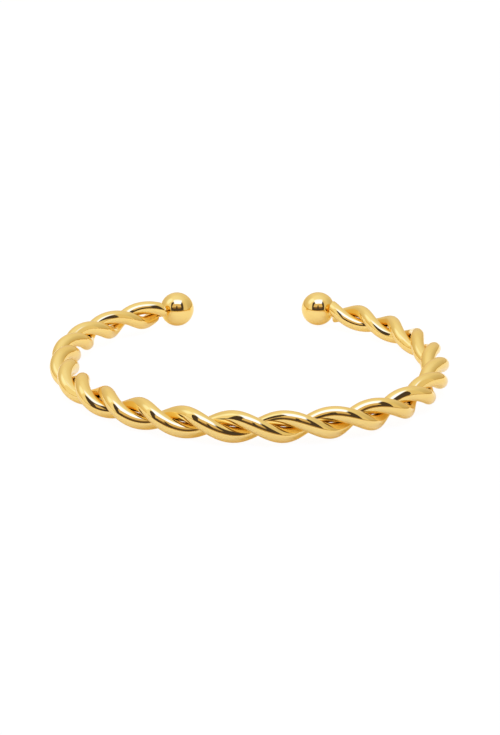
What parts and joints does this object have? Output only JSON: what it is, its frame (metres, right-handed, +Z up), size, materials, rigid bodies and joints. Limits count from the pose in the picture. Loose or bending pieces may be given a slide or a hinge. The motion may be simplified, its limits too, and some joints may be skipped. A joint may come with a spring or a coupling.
{
  "type": "torque bangle",
  "caption": "Open torque bangle of round wires twisted into a rope, bent into a cuff with a polished ball on each end.",
  "frame": {"origin": "middle of the bangle's plan, on the surface that it lies on", "axes": "+Z up, square to the loop that the wrist goes through; +Y towards the opening between the balls, -Y the closed front; +X to the right seen from the front"},
  "size_m": [0.0664, 0.066, 0.0063],
  "materials": {
    "polished_gold_wire": "mirror-polished yellow gold plate on drawn wire",
    "polished_gold_ball": "mirror-polished yellow gold plate on a ball"
  },
  "bodies": {
    "root": {"strand_a": "polished_gold_wire", "strand_b": "polished_gold_wire", "left_ball": "polished_gold_ball", "right_ball": "polished_gold_ball"}
  },
  "joints": []
}
